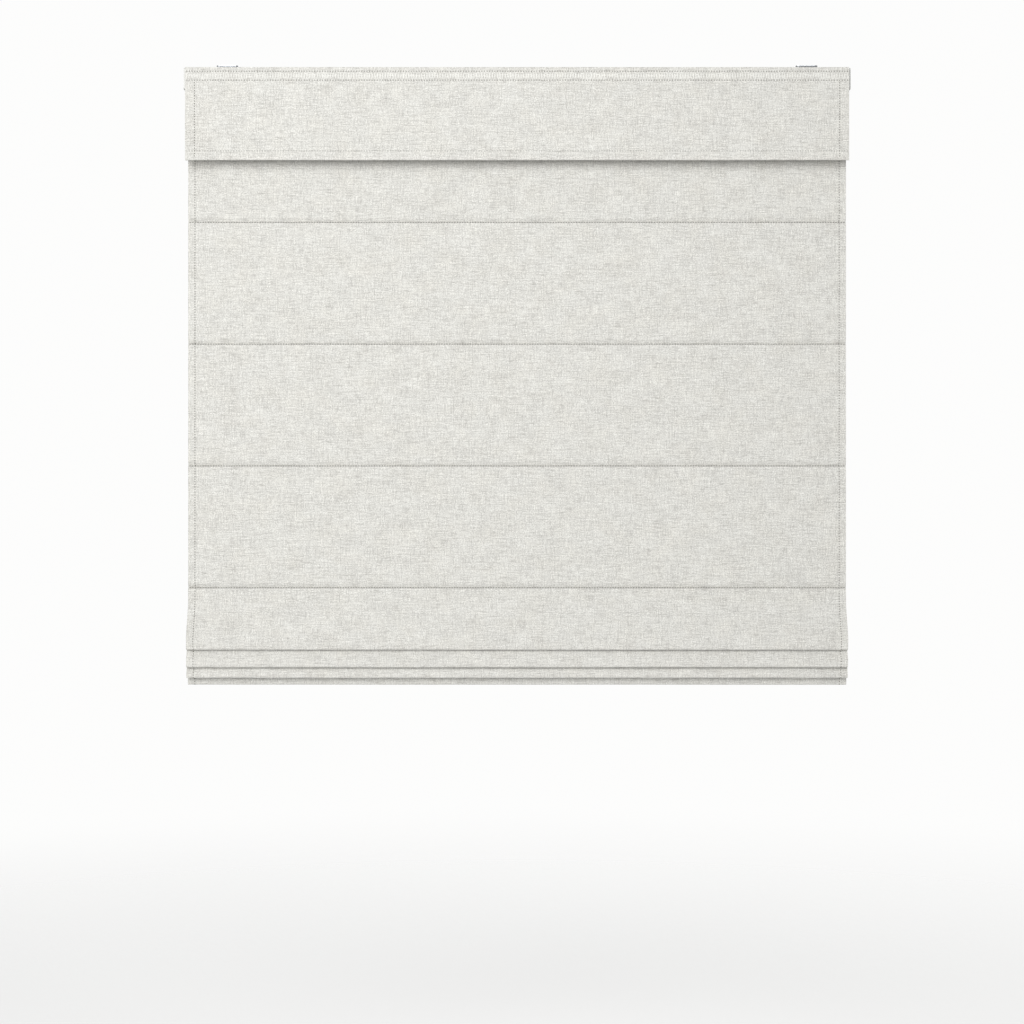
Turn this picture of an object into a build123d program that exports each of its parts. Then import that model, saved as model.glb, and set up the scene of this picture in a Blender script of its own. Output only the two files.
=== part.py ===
from build123d import *

# Cordless flat-fold roman blind, partly raised. Millimetres, +Z up, room side -Y, width along X.
# The origin is the middle of the bracket screws, on the plane that the brackets are screwed to.
import os
from math import asin, atan2, cos, degrees, pi, radians, sin, sqrt, tan

# ---- Driving dimensions ----
blind_width = 914.0  # headrail and valance
cloth_inset = 1.0  # cloth's side edge inside the headrail's end
cloth = 0.8  # cloth and its lining together
running = 0.05  # radial clearance of a part that turns on a pin
press = 0.02  # radial clearance of a pin or screw that is held
seat = 0.3  # gap between soft or sewn parts and what carries them

# Folds
first_seam = 215.0  # mounting plane down to the first rod's seam
fold_pitch = 169.0  # cloth between two rods
open_folds = 4  # folds that hang taut
closed_folds = 3  # folds drawn up at the bottom
hem_drop = 84.4  # last seam down to the bottom edge
seam_y = -3.5  # cloth's middle at a taut seam
panel_bulge = 4.0  # a taut panel stands this far in front of its seams
roll_in = 22.0  # height over which a panel rolls back to its seam
roll_out = 5.0  # height over which it comes forward again below the seam
ease = 20.0  # corner radius where the cloth turns a little
step_back = 3.0  # a closed fold's cloth sets the next rod this far back

# Loops of the closed folds, from the front
nest_bend = 12.0  # corner radius where a loop hangs behind another
nest_rise = 2.4  # that corner's height above the loop in front
loop_front = (-26.0, -25.0, -22.5)  # middle of each loop's front leg at its bottom
loop_width = 5.6  # between the two legs of a loop
loop_gap = 1.6  # between one loop and the next
hem_gap = 0.8  # more between the last loop and the hem
loop_slack = (8.0, 0.4, 2.4)  # how much higher a loop's bottom is than a flat fold's
loop_leg = (17.0, 10.5, 5.5)  # straight height above a loop's bottom
leg_bend = 8.0  # corner radius above a loop's straight legs
apex_width = 1.6  # between the two cloth legs at a closed seam
apex_drop = 11.0  # straight cloth below a closed seam

# Headrail
headrail_depth = 44.0
headrail_height = 29.0
headrail_wall = 1.4
headrail_top = 4.0  # below the mounting plane
lip = 8.0
channel_wall = 1.2
channel_floor = 1.6
channel_room = 0.4  # round the cloth that wraps the spline
channel_slot = 0.8  # on each side of the cloth where it leaves
spline_radius = 2.0
spline_inset = 2.0  # spline's end inside the cloth's edge
wrap_gap = 0.1  # between the spline and the cloth round it
end_cap = 3.0
plug_length = 12.0
plug_wall = 1.6
plug_gap = 0.3

# Brackets
bracket_inset = 57.0  # bracket's middle inside the headrail's end
bracket_width = 30.0
bracket_plate = 1.2
bracket_edge = 2.0  # bracket's edge inside the headrail's face
bracket_foot = 3.4
leg_gap = 0.4  # between a bracket's leg and the lip it hooks under
screw_spacing = 16.0
screw_hole = 2.25

# Valance
valance_height = 128.0
valance_cloth = 0.7
valance_board_thick = 2.4
board_gap = 0.1  # all round the board in its sleeve
board_inset = 2.0  # board's end inside the sleeve's
tape_thick = 1.0
tape_height = 25.0
tape_drop = 2.0  # tape's top edge below the headrail's
tape_inset = 7.0  # tape's end inside the headrail's

# Rods, pockets and cord guides
rod_radius = 2.0
rod_inset = 2.0  # rod's end inside its pocket's
rod_room = 0.4  # play of the rod across its pocket
pocket_height = 16.0
pocket_wall = 0.6
pocket_inset = 6.0  # pocket's end inside the cloth's edge
stack_gap = 0.5
cord_inset = 177.0  # cord inside the headrail's end
cord_radius = 0.7
cord_ease = 20.0  # bend radius of the cord where the stack leans back
guide_radius = 4.2
guide_neck = 0.5  # between a guide's eye and its pocket
guide_hole = 2.0
guide_height = 3.0
guide_foot = (10.0, 0.8, 11.0)
stop_radius = 2.5
stop_height = 6.0

# Bottom bar
bar_height = 24.0
bar_thick = 6.0
bar_wall = 1.2
bar_inset = 7.0  # bar's end inside the cloth's edge
bar_cap = 1.5
bar_play = 0.2  # more room across the hem than the seats take
hem_lap = 4.5  # how far the hem's turned edge is sewn above the bar

# Spring motor: four drums with upright axes between a base and a cover
gear_teeth = 34
gear_room = 2.85  # between a gear's crest and the headrail's wall
gear_crest = 0.75  # tooth above the pitch circle, in modules
gear_thick = 3.0
base_thick = 2.0
cover_thick = 1.6
cover_room = 2.0  # under the headrail's lips, for the screws' heads
drum_gap = 0.3
flange_gap = 2.0  # flange's edge inside the gears' pitch circle
flange_thick = 1.5
pin_radius = 2.0
storage_lip = 8.0  # flange's edge outside the storage drum's barrel
output_lip = 6.0
spool_lip = 3.2
storage_coil = 2.4
output_coil = 0.6
spring_thick = 0.3
spring_height = 10.0
spring_lift = 1.5  # spring above the gears
coil_gap = 0.2  # between a drum's barrel and the spring or cord on it
winding_height = 9.0
post_radius = 3.0
screw_radius = 1.4
screw_length = 10.0
screw_head = (2.6, 1.2)
base_margin = 25.0  # base beyond the outer drums' axes
base_side_gap = 0.4

# Cord outlets
cord_level = 18.0  # mounting plane down to the cord in the headrail
roller_groove = 4.0
roller_rim = 6.0
roller_width = 5.0
cord_bend = 5.0
outlet_length = 19.0
outlet_depth = 11.6
outlet_flange = 1.5
outlet_pin = 1.2
outlet_top = 15.0  # below the mounting plane
outlet_fit = 0.2  # round the outlet in the headrail's floor
outlet_shift = 0.5  # outlet's middle beyond the roller's axis
outlet_rim = 2.0  # its flange beyond its sides

# ---- Places worked out from them ----
folds = open_folds + closed_folds
shade_width = blind_width - 2 * cloth_inset
pocket_length = shade_width - 2 * pocket_inset
rod_length = pocket_length - 2 * rod_inset
bar_length = shade_width - 2 * bar_inset
cord_x = blind_width / 2 - cord_inset
bracket_x = blind_width / 2 - bracket_inset
panel_y = seam_y - panel_bulge
channel_y = panel_y
channel_half = spline_radius + cloth + channel_room
wrap = spline_radius + wrap_gap + cloth / 2
pocket_inside = 2 * rod_radius + rod_room
pocket_depth = pocket_inside + 2 * pocket_wall
stack_pitch = pocket_height + stack_gap
floor_z = -headrail_top - headrail_height
floor_top = floor_z + headrail_wall
inner_half = headrail_depth / 2 - headrail_wall
lip_under = -headrail_top - headrail_wall
opening_half = headrail_depth / 2 - lip
cord_z = -cord_level
gear_module = (inner_half - gear_room) / (gear_teeth / 2 + gear_crest)
drum_pitch = gear_teeth * gear_module
flange_radius = drum_pitch / 2 - flange_gap
storage_barrel = flange_radius - storage_lip
output_barrel = flange_radius - output_lip
spool_barrel = flange_radius - spool_lip
base_top = floor_top + base_thick
cover_top = lip_under - cover_room
cover_under = cover_top - cover_thick
drum_bottom = base_top + drum_gap
drum_top = cover_under - drum_gap
coil_z = drum_bottom + gear_thick + spring_lift


def seam(i):
    """Middle of the cloth (y, z) at seam i, counted from the top."""
    taut = min(i, open_folds)
    closed = i - taut
    z = -first_seam - (taut - 1) * fold_pitch - closed * stack_pitch
    return seam_y + closed * step_back, z


def pocket_y(i):
    """Middle of rod i's pocket, just behind its seam."""
    return seam(i)[0] + cloth / 2 + seat + pocket_depth / 2


def cord_y(i):
    """Middle of the cord where it goes through guide i."""
    return pocket_y(i) + pocket_depth / 2 + guide_neck + guide_radius


bottom_z = seam(folds)[1] - hem_drop
hem_width = bar_thick + 2 * seat + cloth + bar_play
hem_y = loop_front[-2] + 2 * (loop_width + loop_gap) + hem_gap  # middle of the hem's front layer
spool_x = (drum_pitch / 2, 3 * drum_pitch / 2)
storage_x, output_x = -3 * drum_pitch / 2, -drum_pitch / 2
winding_radius = spool_barrel + cord_radius


def block(x0, x1, y0, y1, z0, z1):
    """Box between two corners."""
    size = Box(abs(x1 - x0), abs(y1 - y0), abs(z1 - z0))
    return Pos((x0 + x1) / 2, (y0 + y1) / 2, (z0 + z1) / 2) * size


def upright(x, y, radius, z0, z1):
    """Cylinder along Z."""
    return Pos(x, y, (z0 + z1) / 2) * Cylinder(radius, z1 - z0)


def along_x(radius, length, y, z):
    """Cylinder along X, centred on the blind."""
    return Pos(0, y, z) * Rot(0, 90, 0) * Cylinder(radius, length)


def along_y(radius, length, x, y, z):
    """Cylinder along Y."""
    return Pos(x, y, z) * Rot(90, 0, 0) * Cylinder(radius, length)


def extrude_x(sketch, length):
    """Extrudes a (y, z) sketch along X, centred on the blind."""
    return extrude(Plane.YZ.offset(-length / 2) * sketch, length)


def rectangle(y0, y1, z0, z1):
    """Rectangle between two (y, z) corners."""
    return Pos((y0 + y1) / 2, (z0 + z1) / 2) * Rectangle(y1 - y0, z1 - z0)


def save(name, shape):
    """Writes one named sub-part."""
    export_step(shape, f"parts/{name}.step")


# ---- Headrail ----
def make_headrail():
    half = headrail_depth / 2
    top = -headrail_top
    profile = rectangle(-half, half, floor_z, top)
    profile -= rectangle(-inner_half, inner_half, floor_top, lip_under)
    profile -= rectangle(-opening_half, opening_half, floor_top, top)
    room, slot = channel_half, cloth / 2 + channel_slot
    outer = room + channel_wall
    under = floor_z - 2 * room
    groove = rectangle(channel_y - outer, channel_y + outer, under - channel_floor, floor_z)
    groove -= rectangle(channel_y - room, channel_y + room, under, floor_z)
    groove -= rectangle(channel_y - slot, channel_y + slot, under - channel_floor, floor_z)
    rail = extrude_x(profile + groove, blind_width)
    for side in (-1, 1):
        rail -= outlet_block(side, outlet_fit, floor_z, floor_top)
    return rail


def make_end_cap(side):
    """Cap plate with a plug that goes into the rail's end."""
    half = blind_width / 2
    cap = block(side * half, side * (half + end_cap), -headrail_depth / 2, headrail_depth / 2,
                floor_z, -headrail_top)
    cap = fillet(cap.edges().filter_by(Axis.X), 1.5)
    outer = inner_half - plug_gap
    low, high = floor_top + plug_gap, lip_under - plug_gap
    plug = block(side * (half - plug_length), side * half, -outer, outer, low, high)
    plug -= block(side * (half - plug_length), side * half, -outer + plug_wall, outer - plug_wall,
                  low + plug_wall, high)
    return cap + plug


def make_bracket(side):
    """Plate screwed up under the window head; two legs go down between the lips and hook under them."""
    x0, x1 = side * bracket_x - bracket_width / 2, side * bracket_x + bracket_width / 2
    half = headrail_depth / 2 - bracket_edge
    part = block(x0, x1, -half, half, -bracket_plate, 0)
    part = fillet(part.edges().filter_by(Axis.Z), 4)
    foot_top = lip_under - seat
    foot_low = foot_top - bracket_plate
    leg_out = opening_half - leg_gap
    for front in (-1, 1):
        part += block(x0, x1, front * (leg_out - bracket_plate), front * leg_out, foot_low, -bracket_plate)
        part += block(x0, x1, front * leg_out, front * (leg_out + bracket_foot), foot_low, foot_top)
        part -= upright(side * bracket_x, front * screw_spacing / 2, screw_hole, -bracket_plate, 0)
    return part


# ---- Cloth ----
def spline_z():
    """Middle of the rod that holds the cloth in the headrail's channel."""
    return floor_z - 2 * channel_half + seat + cloth + wrap_gap + spline_radius


def loop_low(k):
    """Middle of the cloth at the bottom of closed loop k."""
    start_z = seam(open_folds + k)[1]
    return start_z - (fold_pitch + stack_pitch) / 2 + loop_slack[k] + cloth / 2


def layer_y(k, level):
    """Front leg of loop k just above the bottom of the loop at that level, which it hangs behind."""
    return loop_front[level] + (k - level) * (loop_width + loop_gap)


def nest(k, shift=0.0):
    """Points down behind the bottoms of the loops in front of loop k."""
    levels = range(min(k, closed_folds - 1))
    return [(layer_y(k, j) + shift, loop_low(j) + nest_rise, nest_bend) for j in levels]


def cloth_route():
    """(y, z, corner radius) down the middle of the cloth, from the headrail to the hem's end."""
    top, turn = spline_z(), wrap - 0.1
    route = [
        (channel_y + wrap, top - 1.0, 0),
        (channel_y + wrap, top + wrap, turn),
        (channel_y - wrap, top + wrap, turn),
        (channel_y - wrap, top - wrap, 1.2),
        (channel_y, top - wrap, 0.8),
    ]
    for i in range(1, open_folds + 1):
        y, z = seam(i)
        route += [(panel_y, z + roll_in, ease), (y, z, 0.7), (panel_y, z - roll_out, 4)]
    for k in range(closed_folds):
        y, z = seam(open_folds + 1 + k)
        start_y, start_z = seam(open_folds + k)
        low, front = loop_low(k), loop_front[k]
        back = front + loop_width
        bend = loop_width / 2 - 0.05
        below = (panel_y - 0.5, start_z - roll_in - 1) if k == 0 else (start_y, start_z - apex_drop)
        route.append((*below, ease))
        route += nest(k)
        route += [
            (front, low + loop_leg[k], leg_bend),
            (front, low, bend),
            (back, low, bend),
            (back, low + loop_leg[k], leg_bend),
        ]
        route += reversed(nest(k, loop_width))
        route += [
            (y - apex_width, z - apex_drop, nest_bend),
            (y - apex_width, z + apex_width / 2, apex_width / 2 - 0.05),
            (y, z + apex_width / 2, apex_width / 2 - 0.05),
        ]
    y, z = seam(folds)
    low = bottom_z + cloth / 2
    back = hem_y + hem_width
    return fit_corners(route + [
        (y, z - apex_drop - 1, ease),
        *nest(closed_folds, hem_gap)[:-1],
        (hem_y, hem_top(), nest_bend),
        (hem_y, low, 3),
        (back, low, 3),
        (back, hem_top() + 1.0, 2),
        (hem_y + 2.9, hem_top() + hem_lap, 0),
    ])


def fit_corners(route):
    """The route with each corner's radius cut down to what the runs beside it have room for."""
    turns, runs = [0.0], []
    for k in range(1, len(route)):
        runs.append(Vector(*route[k][:2]) - Vector(*route[k - 1][:2]))
    for k in range(1, len(runs)):
        turns.append(tan(radians(runs[k - 1].get_angle(runs[k])) / 2))
    turns.append(0.0)
    fitted = []
    for k, (y, z, radius) in enumerate(route):
        for run, other in ((k - 1, k - 1), (k, k + 1)):
            if 0 <= run < len(runs) and radius > 0:
                needed = radius * turns[k] + route[other][2] * turns[other]
                radius *= 0.9 * runs[run].length / needed if needed > runs[run].length else 1
        fitted.append((y, z, radius))
    return fitted


def hem_top():
    """Top of the room that the hem leaves for the bar."""
    return bottom_z + cloth + bar_height + 2 * seat


def side_line(route, shift):
    """The route's line moved sideways, with its corners' radii changed to match."""
    points, radii = [], []
    for k, (y, z, radius) in enumerate(route):
        here = Vector(y, z)
        before = (here - Vector(*route[k - 1][:2])).normalized() if k else None
        after = (Vector(*route[k + 1][:2]) - here).normalized() if k + 1 < len(route) else None
        before, after = before or after, after or before
        miter = (before + after).rotate(Axis.Z, 90) / (1 + before.dot(after))
        points.append(tuple(here + miter * shift)[:2])
        left_turn = before.cross(after).Z > 0
        radii.append(radius - shift if left_turn else radius + shift)
    return FilletPolyline(*points, radius=radii[1:-1])


def make_cloth():
    """One sheet: its top wraps the spline, its seams lie on the rod pockets, its hem holds the bar."""
    route = cloth_route()
    middle = FilletPolyline(*[p[:2] for p in route], radius=[p[2] for p in route[1:-1]])
    print("cloth length", round(middle.length, 1))
    front, back = side_line(route, -cloth / 2), side_line(route, cloth / 2)
    ends = Line(front @ 0, back @ 0) + Line(front @ 1, back @ 1)
    return extrude_x(make_face(front + back + ends), shade_width)


def make_pocket(i):
    """Tape folded into a sleeve round rod i and sewn behind its seam."""
    y, z = pocket_y(i), seam(i)[1]
    outer = Pos(y, z) * SlotOverall(pocket_height, pocket_depth, rotation=90)
    inner = Pos(y, z) * SlotOverall(pocket_height - 2 * pocket_wall, pocket_inside, rotation=90)
    return extrude_x(outer - inner, pocket_length)


def make_rod(i):
    """Rod lying in the bottom of its pocket."""
    z = seam(i)[1] - pocket_height / 2 + pocket_wall + pocket_inside / 2
    return along_x(rod_radius, rod_length, pocket_y(i), z)


def make_guides(i):
    """An eye at each cord, with a foot sewn to the back of pocket i."""
    z = seam(i)[1]
    back = pocket_y(i) + pocket_depth / 2
    wide, thick, high = guide_foot
    eyes = []
    for side in (-1, 1):
        x = side * cord_x
        eye = upright(x, cord_y(i), guide_radius, z - guide_height / 2, z + guide_height / 2)
        eye += block(x - wide / 2, x + wide / 2, back, back + thick, z - high / 2, z + high / 2)
        eye -= upright(x, cord_y(i), guide_hole, z - guide_height, z + guide_height)
        eyes.append(eye)
    return Compound(eyes)


def make_cord_stops():
    """A bead on each cord's end, under the lowest guide."""
    top = seam(folds)[1] - guide_height / 2 - seat
    beads = []
    for side in (-1, 1):
        x, y = side * cord_x, cord_y(folds)
        bead = upright(x, y, stop_radius, top - stop_height, top)
        bead = fillet(bead.edges().filter_by(GeomType.CIRCLE), 1)
        beads.append(bead - upright(x, y, cord_radius + running, top - stop_height, top))
    return Compound(beads)


def make_bar():
    """Hollow flat bar in the hem."""
    outer = SlotOverall(bar_height, bar_thick, rotation=90)
    inner = SlotOverall(bar_height - 2 * bar_wall, bar_thick - 2 * bar_wall, rotation=90)
    return extrude_x(Pos(*bar_middle()) * (outer - inner), bar_length - 2 * bar_cap)


def bar_middle():
    """Middle of the bar (y, z), just above the hem's bottom fold."""
    return hem_y + hem_width / 2, bottom_z + cloth + seat + bar_height / 2


def make_bar_cap(side):
    """Plug in the end of the bar."""
    outer = Pos(*bar_middle()) * SlotOverall(bar_height, bar_thick, rotation=90)
    fit = bar_wall + 0.15
    inner = Pos(*bar_middle()) * SlotOverall(bar_height - 2 * fit, bar_thick - 2 * fit, rotation=90)
    face = side * (bar_length / 2 - bar_cap)
    cap = extrude(Plane.YZ.offset(face) * outer, side * bar_cap)
    return cap + extrude(Plane.YZ.offset(face) * inner, -side * plug_length)


# ---- Valance ----
def make_valance():
    """Hook tape on the headrail, loop tape on the valance, and a cloth sleeve round a stiff board."""
    face = -headrail_depth / 2
    top = -headrail_top
    tape_high = top - tape_drop
    tape_half = blind_width / 2 - tape_inset
    tapes = []
    for layer in range(2):
        y = face - layer * tape_thick
        tapes.append(block(-tape_half, tape_half, y - tape_thick, y, tape_high - tape_height, tape_high))
    back = face - 2 * tape_thick
    front = back - 2 * (valance_cloth + board_gap) - valance_board_thick
    sleeve = block(-blind_width / 2, blind_width / 2, front, back, top - valance_height, top)
    sleeve = fillet(sleeve.edges().filter_by(Axis.X), 0.6)
    sleeve -= block(-blind_width / 2, blind_width / 2, front + valance_cloth, back - valance_cloth,
                    top - valance_height + valance_cloth, top - valance_cloth)
    inset = valance_cloth + board_gap
    board_half = blind_width / 2 - board_inset
    board = block(-board_half, board_half, front + inset, back - inset,
                  top - valance_height + inset, top - inset)
    return tapes[0], tapes[1], board, sleeve


# ---- Spring motor ----
def gear(x, phase):
    """Spur gear about an upright axis, as a flat-topped tooth outline."""
    pitch = drum_pitch / 2
    crest, root = pitch + gear_crest * gear_module, pitch - 1.15 * gear_module
    step = 2 * pi / gear_teeth
    points = []
    for tooth in range(gear_teeth):
        middle = phase + tooth * step
        for radius, share in ((root, -0.27), (crest, -0.11), (crest, 0.11), (root, 0.27)):
            angle = middle + share * step
            points.append((radius * cos(angle), radius * sin(angle)))
    face = make_face(Polyline(*points, close=True))
    return Pos(x, 0, drum_bottom) * extrude(face, gear_thick)


def make_drum(x, barrel, phase=None):
    """Barrel between two flanges; the lower one is a gear where the drum is geared."""
    part = upright(x, 0, barrel, drum_bottom, drum_top)
    part += upright(x, 0, flange_radius, drum_top - flange_thick, drum_top)
    if phase is None:
        part += upright(x, 0, flange_radius, drum_bottom, drum_bottom + gear_thick)
    else:
        part += gear(x, phase)
    return part - upright(x, 0, pin_radius + running, drum_bottom, drum_top)


def motor_axes():
    return [storage_x, output_x, *spool_x]


def motor_posts():
    """(x, y) of the four posts that carry the cover."""
    x = motor_axes()[-1] + base_margin - post_radius - 1
    y = inner_half - base_side_gap - post_radius - 0.2
    return [(-x, -y), (-x, y), (x, -y), (x, y)]


def motor_plate(low, high):
    half = motor_axes()[-1] + base_margin
    deep = inner_half - base_side_gap
    plate = block(-half, half, -deep, deep, low, high)
    plate = fillet(plate.edges().filter_by(Axis.Z), 3)
    for x in motor_axes():
        plate -= upright(x, 0, pin_radius + press, low, high)
    return plate


def make_base():
    part = motor_plate(floor_top, base_top)
    for x, y in motor_posts():
        part += upright(x, y, post_radius, base_top, cover_under)
        part -= upright(x, y, screw_radius, cover_under - screw_length, cover_under)
    return part


def make_cover():
    part = motor_plate(cover_under, cover_top)
    for x, y in motor_posts():
        part -= upright(x, y, screw_radius + 0.2, cover_under, cover_top)
    return part


def make_screws():
    head, head_thick = screw_head
    screws = []
    for x, y in motor_posts():
        screw = upright(x, y, screw_radius - press, cover_under - screw_length + 1, cover_top)
        screws.append(screw + upright(x, y, head, cover_top, cover_top + head_thick))
    return Compound(screws)


def make_pins():
    return Compound([upright(x, 0, pin_radius, floor_top, cover_top) for x in motor_axes()])


def make_spring():
    """Strip coiled on the storage drum, crossing to the output drum's other side."""
    inner = (storage_barrel + coil_gap, output_barrel + coil_gap)
    outer = (inner[0] + storage_coil, inner[1] + output_coil)
    spool = [(storage_x, inner[0], outer[0]), (output_x, inner[1], outer[1])]
    rings = [Pos(x, 0) * (Circle(b) - Circle(a)) for x, a, b in spool]
    r1, r2 = outer[0] - spring_thick / 2, outer[1] - spring_thick / 2
    turn = asin((r1 + r2) / drum_pitch)
    start = (storage_x + r1 * sin(turn), r1 * cos(turn))
    end = (output_x - r2 * sin(turn), -r2 * cos(turn))
    run = sqrt((end[0] - start[0]) ** 2 + (end[1] - start[1]) ** 2)
    lean = degrees(atan2(end[1] - start[1], end[0] - start[0]))
    middle = Pos((start[0] + end[0]) / 2, (start[1] + end[1]) / 2)
    strip = middle * Rot(0, 0, lean) * Rectangle(run + 0.4, spring_thick)
    return Pos(0, 0, coil_z) * extrude(rings[0] + rings[1] + strip, spring_height)


# ---- Lift cords and their outlets ----
def outlet_x(side, offset):
    """A place measured outwards from the roller's axis."""
    return side * (cord_x - cord_bend + offset)


def outlet_block(side, grow, z0, z1):
    """The outlet's body, or the hole for it in the headrail's floor."""
    half = outlet_depth / 2 + grow
    low = outlet_x(side, outlet_shift - outlet_length / 2 - grow)
    high = outlet_x(side, outlet_shift + outlet_length / 2 + grow)
    return block(low, high, cord_y(1) - half, cord_y(1) + half, z0, z1)


def roller_z():
    return cord_z - cord_bend


def make_outlet(side):
    """Moulding in the headrail's floor that carries the roller the cord turns down over."""
    y = cord_y(1)
    part = outlet_block(side, 0, floor_z, -outlet_top)
    part += outlet_block(side, outlet_rim, floor_z - outlet_flange, floor_z)
    slot = roller_width / 2 + 0.3
    inner = outlet_x(side, -outlet_length / 2)
    outer = outlet_x(side, roller_rim + 1.5)
    part -= block(inner, outer, y - slot, y + slot, roller_z() - roller_rim - 0.8, -outlet_top)
    hole_top = roller_z() - roller_rim - 0.8
    part -= upright(side * cord_x, y, cord_radius + 0.9, floor_z - outlet_flange, hole_top)
    return part - along_y(outlet_pin + press, outlet_depth + 1, outlet_x(side, 0), y, roller_z())


def make_roller(side):
    """Grooved roller."""
    x, y, z = outlet_x(side, 0), cord_y(1), roller_z()
    part = along_y(roller_rim, roller_width, x, y, z)
    groove = along_y(roller_rim + 1, 2.4, x, y, z) - along_y(roller_groove, 2.4, x, y, z)
    part -= groove
    return part - along_y(outlet_pin + running, roller_width, x, y, z)


def make_outlet_pins():
    return Compound([
        along_y(outlet_pin, outlet_depth, outlet_x(side, 0), cord_y(1), roller_z()) for side in (-1, 1)
    ])


def make_cord(side):
    """Cord from its spool, over the roller, through every guide to its stop, with the turns it has wound."""
    x = side * cord_x
    spool = spool_x[0] if side < 0 else spool_x[1]
    last = seam(folds)[1]
    stop_low = last - guide_height / 2 - seat - stop_height
    route = FilletPolyline(
        (spool, winding_radius, cord_z),
        (x, cord_y(1), cord_z),
        (x, cord_y(open_folds), seam(open_folds)[1]),
        (x, cord_y(folds), last),
        (x, cord_y(folds), stop_low),
        radius=[cord_bend, cord_ease, cord_ease],
    )
    print("lift cord", side, round(route.length, 1), "radii", cord_bend, cord_ease, cord_ease)
    start = Plane(origin=route @ 0, z_dir=route % 0)
    tube = sweep(start * Circle(cord_radius), path=route)
    if abs(tube.volume / (pi * cord_radius**2 * route.length) - 1) > 0.01:
        raise ValueError("cord tube is not its section times its length")
    low, high = cord_z - winding_height / 2, cord_z + winding_height / 2
    inside = spool_barrel + coil_gap / 2
    turns = upright(spool, 0, inside + 2 * cord_radius, low, high)
    turns -= upright(spool, 0, inside, low, high)
    return tube + turns


os.makedirs("parts", exist_ok=True)
save("headrail", make_headrail())
save("top_spline", along_x(spline_radius, shade_width - 2 * spline_inset, channel_y, spline_z()))
save("shade_fabric", make_cloth())
for name, shape in zip(("hook_tape", "loop_tape", "valance_board", "valance_cover"), make_valance()):
    save(name, shape)
for word, side in (("left", -1), ("right", 1)):
    save(f"end_cap_{word}", make_end_cap(side))
    save(f"bracket_{word}", make_bracket(side))
    save(f"outlet_{word}", make_outlet(side))
    save(f"outlet_roller_{word}", make_roller(side))
    save(f"lift_cord_{word}", make_cord(side))
    save(f"bar_cap_{word}", make_bar_cap(side))
save("outlet_pins", make_outlet_pins())
for i in range(1, folds + 1):
    save(f"rod_{i}", make_rod(i))
    save(f"rod_pocket_{i}", make_pocket(i))
    save(f"cord_guides_{i}", make_guides(i))
save("cord_stops", make_cord_stops())
save("bottom_bar", make_bar())
save("motor_base", make_base())
save("motor_cover", make_cover())
save("motor_screws", make_screws())
save("motor_pins", make_pins())
save("drive_spring", make_spring())
half_tooth = pi / gear_teeth
save("storage_drum", make_drum(storage_x, storage_barrel))
save("output_drum", make_drum(output_x, output_barrel, 0))
save("spool_left", make_drum(spool_x[0], spool_barrel, half_tooth))
save("spool_right", make_drum(spool_x[1], spool_barrel, 0))
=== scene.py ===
from cmath import exp, phase
from math import ceil, cos, pi, radians, sin, tan

import bmesh
import bpy
from mathutils import Matrix, Vector, noise


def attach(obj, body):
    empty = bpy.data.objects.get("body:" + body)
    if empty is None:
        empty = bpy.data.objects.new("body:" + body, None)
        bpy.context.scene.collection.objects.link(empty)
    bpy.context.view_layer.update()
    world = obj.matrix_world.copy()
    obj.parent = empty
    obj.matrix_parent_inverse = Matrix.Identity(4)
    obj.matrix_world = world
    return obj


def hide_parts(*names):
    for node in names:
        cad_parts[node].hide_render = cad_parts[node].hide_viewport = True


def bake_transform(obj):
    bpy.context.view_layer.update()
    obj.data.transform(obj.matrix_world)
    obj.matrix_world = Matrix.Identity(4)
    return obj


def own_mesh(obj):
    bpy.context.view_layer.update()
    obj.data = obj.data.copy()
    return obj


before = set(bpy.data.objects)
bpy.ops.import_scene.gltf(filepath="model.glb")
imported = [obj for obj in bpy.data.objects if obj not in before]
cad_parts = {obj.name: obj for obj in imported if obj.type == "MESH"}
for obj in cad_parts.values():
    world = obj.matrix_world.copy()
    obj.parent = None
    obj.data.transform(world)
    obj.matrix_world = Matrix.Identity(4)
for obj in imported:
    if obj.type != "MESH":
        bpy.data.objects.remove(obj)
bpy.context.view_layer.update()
MM = 0.001

# ---- Sizes in millimetres: width along X, room side -Y, up +Z ----
SHADE_HALF = 456.0
VALANCE_HALF = 457.0
TAPE_HALF = 450.0
CLOTH = 0.8
SLEEVE_CLOTH = 0.7
POCKET_CLOTH = 0.6
SHADE_HEM = 11.5
VALANCE_HEM = 15.0
SLEEVE_FRONT, SLEEVE_BACK, SLEEVE_LOW, SLEEVE_TOP = -27.65, -24.35, -131.65, -4.35
SLEEVE_JOIN = -14.0  # height of the valance sleeve's join on its back
HEADER = (4.9, 17.2)  # stitch rows below the valance's top edge
FOOTER = 114.6
SIDE_HEM_RISE = 0.2
STITCH_PITCH = 3.6
POCKET_DEPTH, POCKET_HEIGHT = 5.0, 15.4
FASTENING = 25.0
FASTENING_TOP = -6.0
FASTENING_CLOTH = 1.0
OPEN_FOLDS = 4
FOLDS = 7
SEAM_Y, FIRST_SEAM = -3.5, -215.0
FOLD_PITCH, CLOSED_PITCH = 169.0, 16.5
CLOSED_LEAN = 3.0  # a closed fold's cloth puts the next rod this far back
POCKET_BEHIND, GUIDE_BEHIND = 3.5, 11.0  # behind the seam
PANEL_Y = -7.5
SPLINE_FRONT, SPLINE_BACK, SPLINE_TOP, SPLINE_LOW = -10.0, -5.0, -33.7, -38.7
WRAP_RADIUS = 2.4
LOOP_FRONT = (-26.0, -25.0, -22.5)
LOOP_LOW = (-806.35, -830.45, -844.95)
LOOP_LEG = (17.0, 10.5, 5.5)
LOOP_TUCK = (1.6, 1.1, 0.8)  # how far a loop's front leans in at its bottom
LOOP_ROUND = (3.0, 2.6, 2.2)
LOOP_WIDTH = 5.6
LOOP_STEP = LOOP_WIDTH + 1.6
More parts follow.
